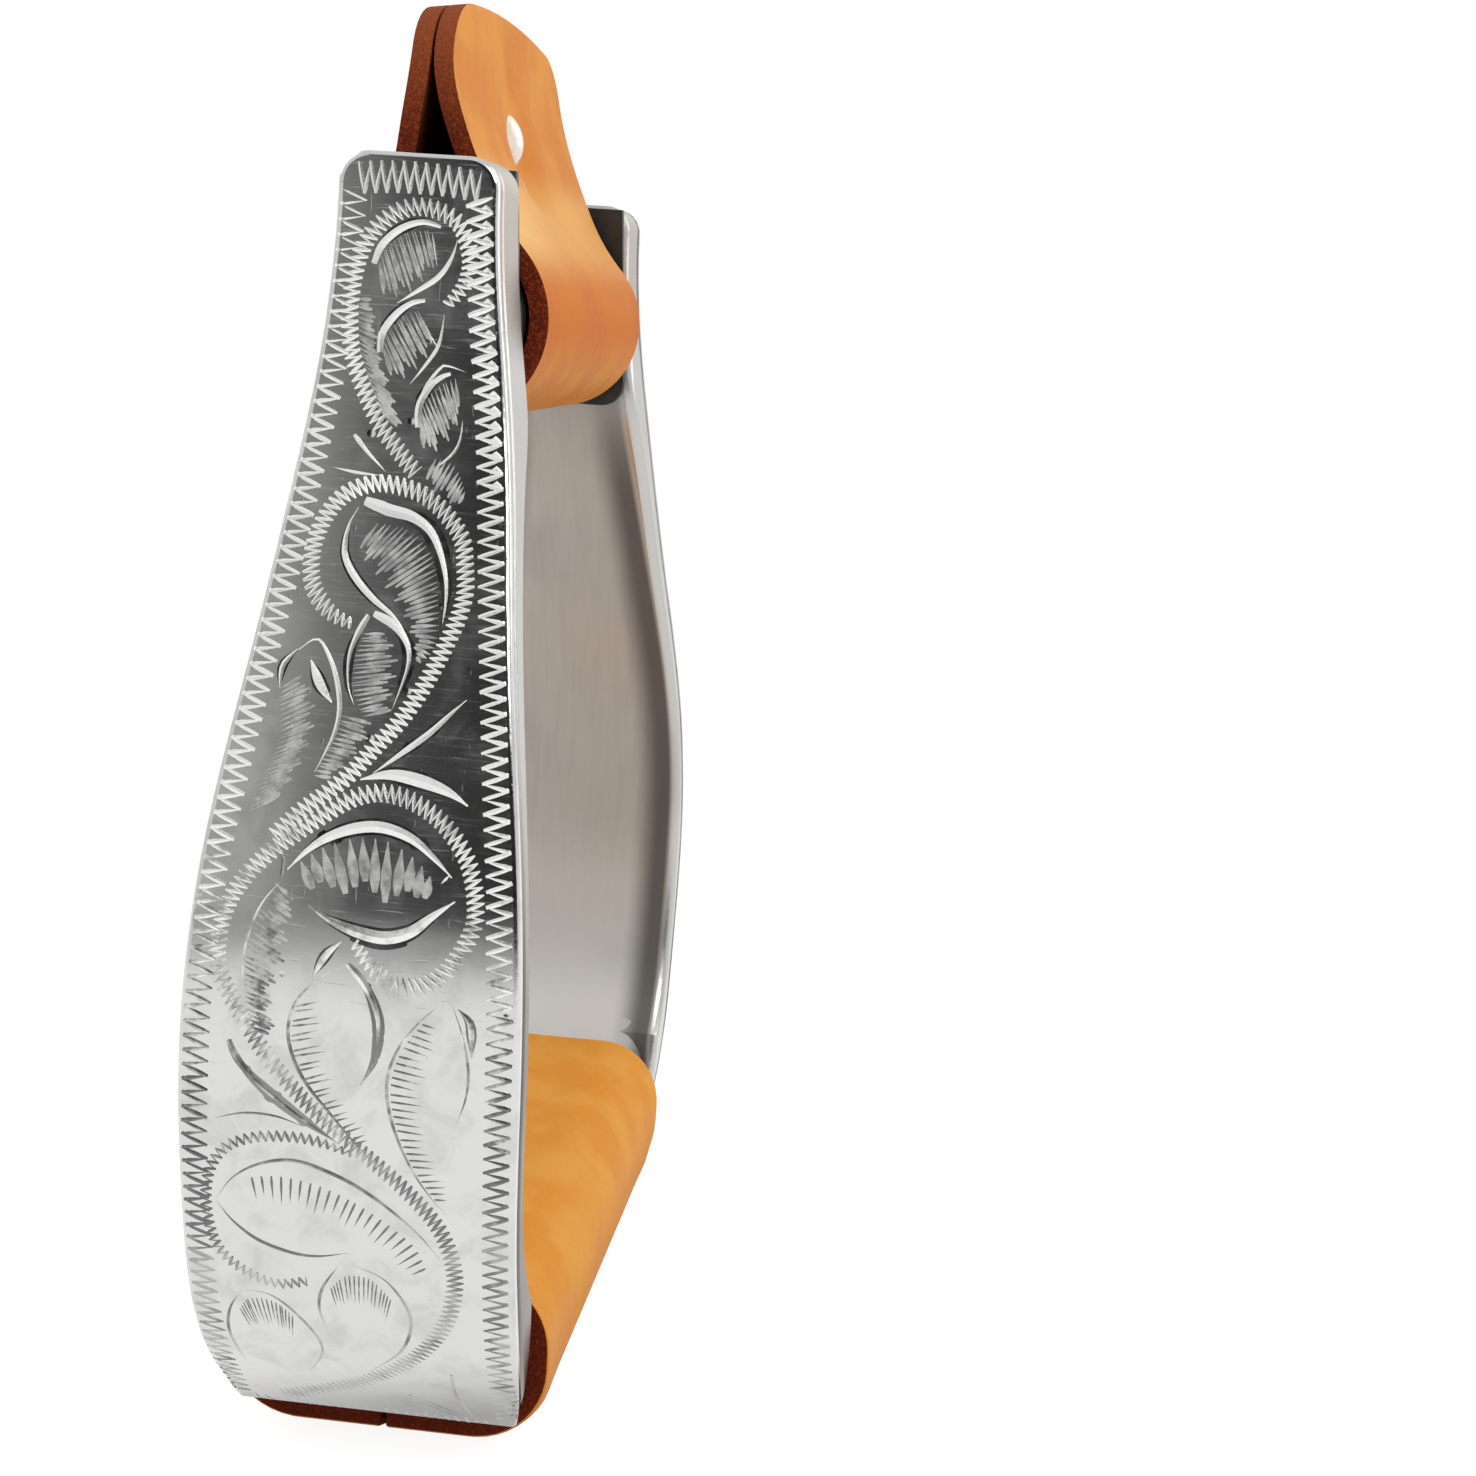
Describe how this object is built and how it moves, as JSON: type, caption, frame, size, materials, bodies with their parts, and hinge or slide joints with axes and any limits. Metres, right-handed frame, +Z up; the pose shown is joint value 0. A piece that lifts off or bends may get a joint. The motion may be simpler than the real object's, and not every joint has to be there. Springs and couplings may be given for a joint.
{
  "type": "western stirrup",
  "caption": "Bell-sided western riding stirrup: cast frame with engraved overlay plate, leather-wrapped tread, bolt, roller and folded leather bolt cover.",
  "frame": {"origin": "middle of the tread's underside, on the plane the stirrup stands on", "axes": "+X along the stirrup bolt towards the plain side, -X is the engraved side; +Y the back, towards which the bolt cover leans; +Z up, from tread to bolt"},
  "size_m": [0.1404, 0.0428, 0.1842],
  "materials": {
    "casting": "satin buffed casting, matte on the inner faces",
    "engraved_plate": "mirror polished sheet, bright-cut scroll engraving",
    "plain_plate": "polished sheet with small dents and fine scratches",
    "bond": "dark adhesive and grime in the seam",
    "liner": "black satin sheet",
    "bolt_steel": "zinc plated",
    "roller": "black moulded sleeve",
    "cover_leather": "oiled russet leather with dark rough cut edges",
    "rivet": "pale plated dome, worn",
    "tread_leather": "oiled russet leather, scuffed on top",
    "thread": "waxed thread"
  },
  "bodies": {
    "stirrup": {"frame_casting": "casting", "engraved_plate": "engraved_plate", "plain_plate": "plain_plate", "engraved_plate_bond": "bond", "plain_plate_bond": "bond", "engraved_side_liner": "liner", "plain_side_liner": "liner", "stirrup_bolt": "bolt_steel", "bolt_washer": "bolt_steel", "bolt_nut": "bolt_steel", "tread_leather": "tread_leather", "tread_stitching": "thread"},
    "roller": {"roller": "roller"},
    "cover": {"bolt_cover": "cover_leather", "rivet_cap": "rivet", "rivet_post": "rivet"}
  },
  "joints": [
    {"name": "roller_spin", "type": "hinge", "parent": "stirrup", "child": "roller", "pos_m": [0, 0, 0.1442], "axis": [1, 0, 0], "continuous": true},
    {"name": "cover_swing", "type": "hinge", "parent": "stirrup", "child": "cover", "pos_m": [0, 0, 0.1442], "axis": [1, 0, 0], "continuous": true}
  ]
}
